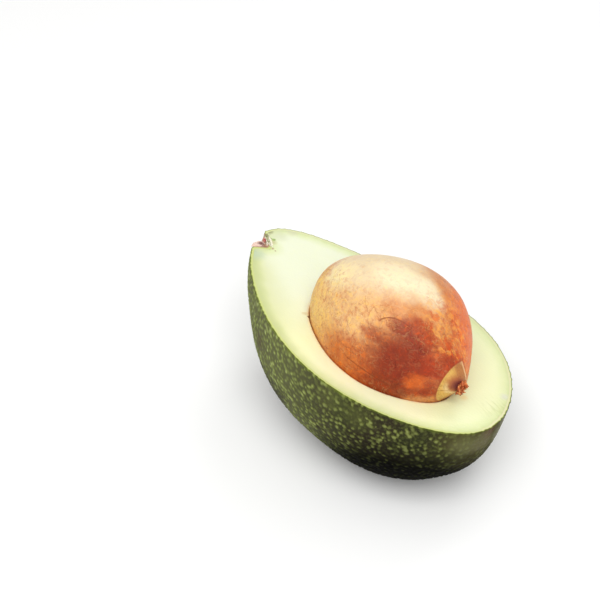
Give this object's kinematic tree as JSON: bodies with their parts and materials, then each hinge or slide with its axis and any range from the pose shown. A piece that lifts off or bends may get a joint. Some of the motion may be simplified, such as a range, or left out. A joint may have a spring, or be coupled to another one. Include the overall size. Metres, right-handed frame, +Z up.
{
  "type": "halved avocado with its seed",
  "caption": "Half of a pebble-skinned avocado, cut along its length, lying on its rounded back with the seed standing up out of the flesh.",
  "frame": {"origin": "middle of the flat spot on the rounded back that the half lies on", "axes": "+X along the fruit from the stem end to the blossom end, +Y across it to the side that lies lower, +Z up"},
  "size_m": [0.1023, 0.0656, 0.0653],
  "materials": {
    "peel": "satin",
    "flesh": "satin",
    "seed_coat": "satin",
    "dried_stalk": "matte"
  },
  "bodies": {
    "root": {"skin": "peel", "flesh": "flesh", "seed": "seed_coat", "stem_stub": "dried_stalk"}
  },
  "joints": []
}
